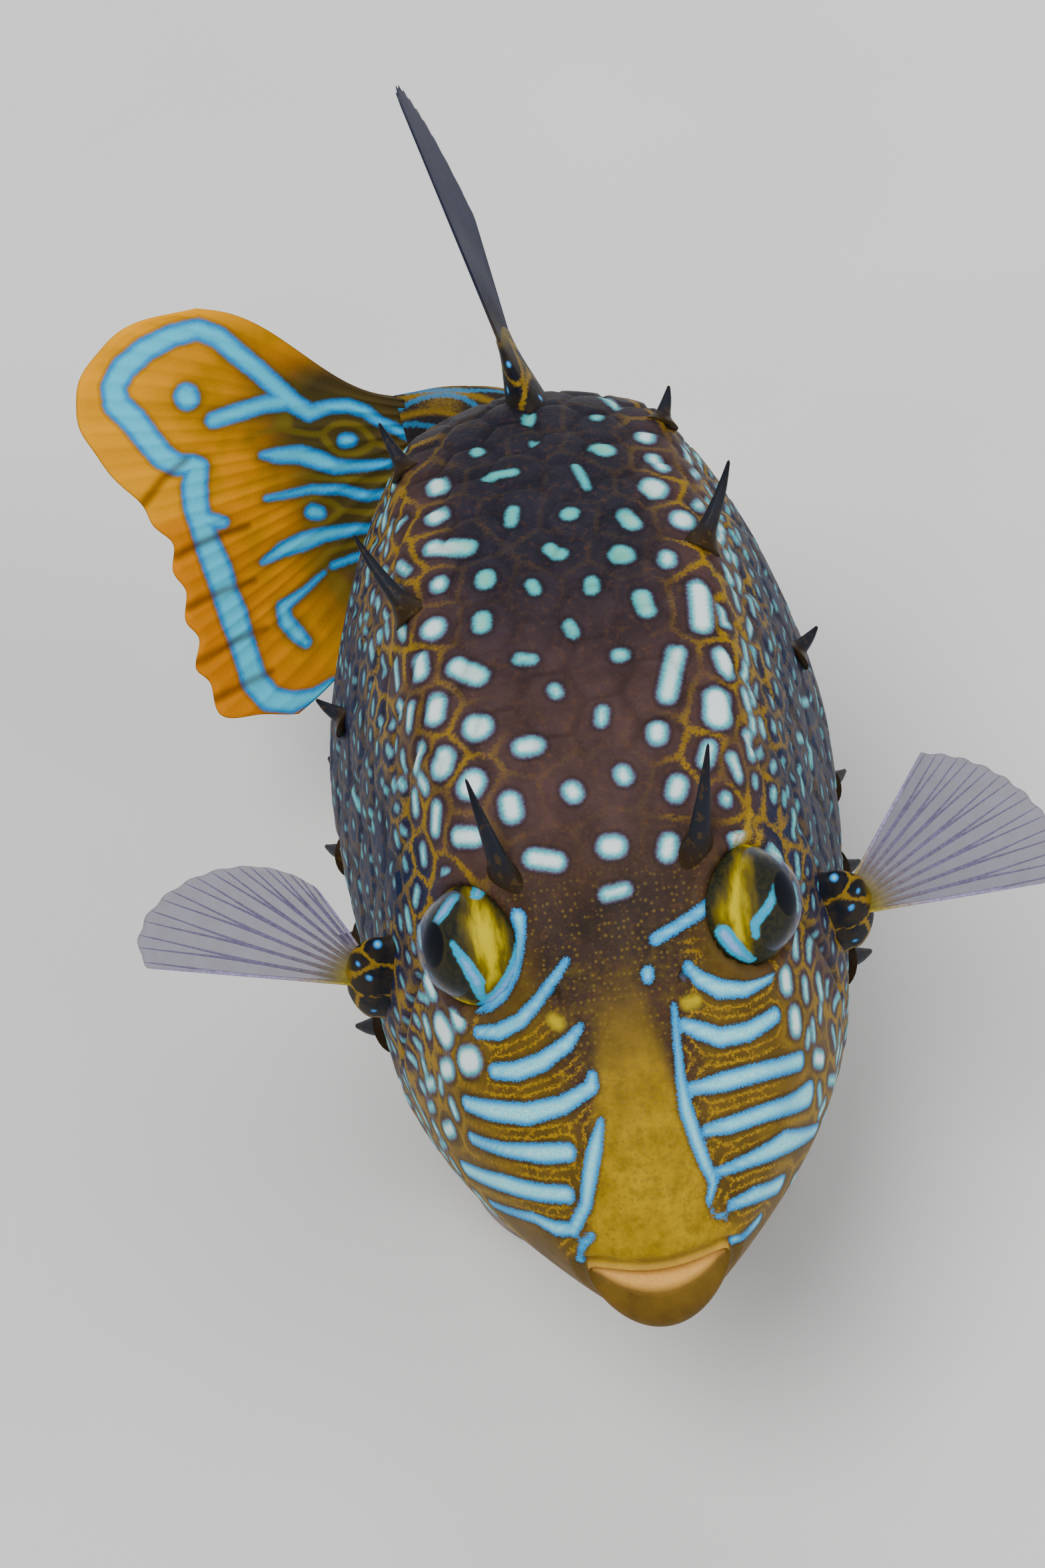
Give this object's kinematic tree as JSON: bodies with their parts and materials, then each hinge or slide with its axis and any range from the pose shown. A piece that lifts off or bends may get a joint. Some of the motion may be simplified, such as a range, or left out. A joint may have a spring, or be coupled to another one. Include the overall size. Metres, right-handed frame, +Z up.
{
  "type": "ornate cowfish model",
  "caption": "Life-size still model of a male ornate cowfish with its tail swept to one side, for display on a flat stand.",
  "frame": {"origin": "on the surface that the stand rests on, under the middle of the model's box", "axes": "-Y is where the fish faces, +X its left side, +Z up"},
  "size_m": [0.0875, 0.1146, 0.0873],
  "materials": {
    "face_skin": "satin painted skin, olive-gold snout with pale blue cheek stripes",
    "shell_skin": "satin painted shell plates, dark brown with white and cyan spots and gold seams",
    "tail_web": "satin orange web with bright blue bands",
    "fin_web": "clear lilac-grey web with raised rays",
    "eye": "clear gloss over a gold and cyan iris",
    "horn": "dark, slightly clear spine",
    "stand_wood": "satin dark wood",
    "stand_steel": "brushed"
  },
  "bodies": {
    "root": {"head": "face_skin", "trunk": "shell_skin", "tail_stalk": "shell_skin", "caudal_fin": "tail_web", "dorsal_fin": "fin_web", "anal_fin": "fin_web", "pectoral_fin_left": "fin_web", "pectoral_fin_right": "fin_web", "eye_left": "eye", "eye_right": "eye", "brow_horn_left": "horn", "brow_horn_right": "horn", "stand_base": "stand_wood", "stand_rod_1": "stand_steel", "stand_rod_2": "stand_steel"}
  },
  "joints": []
}
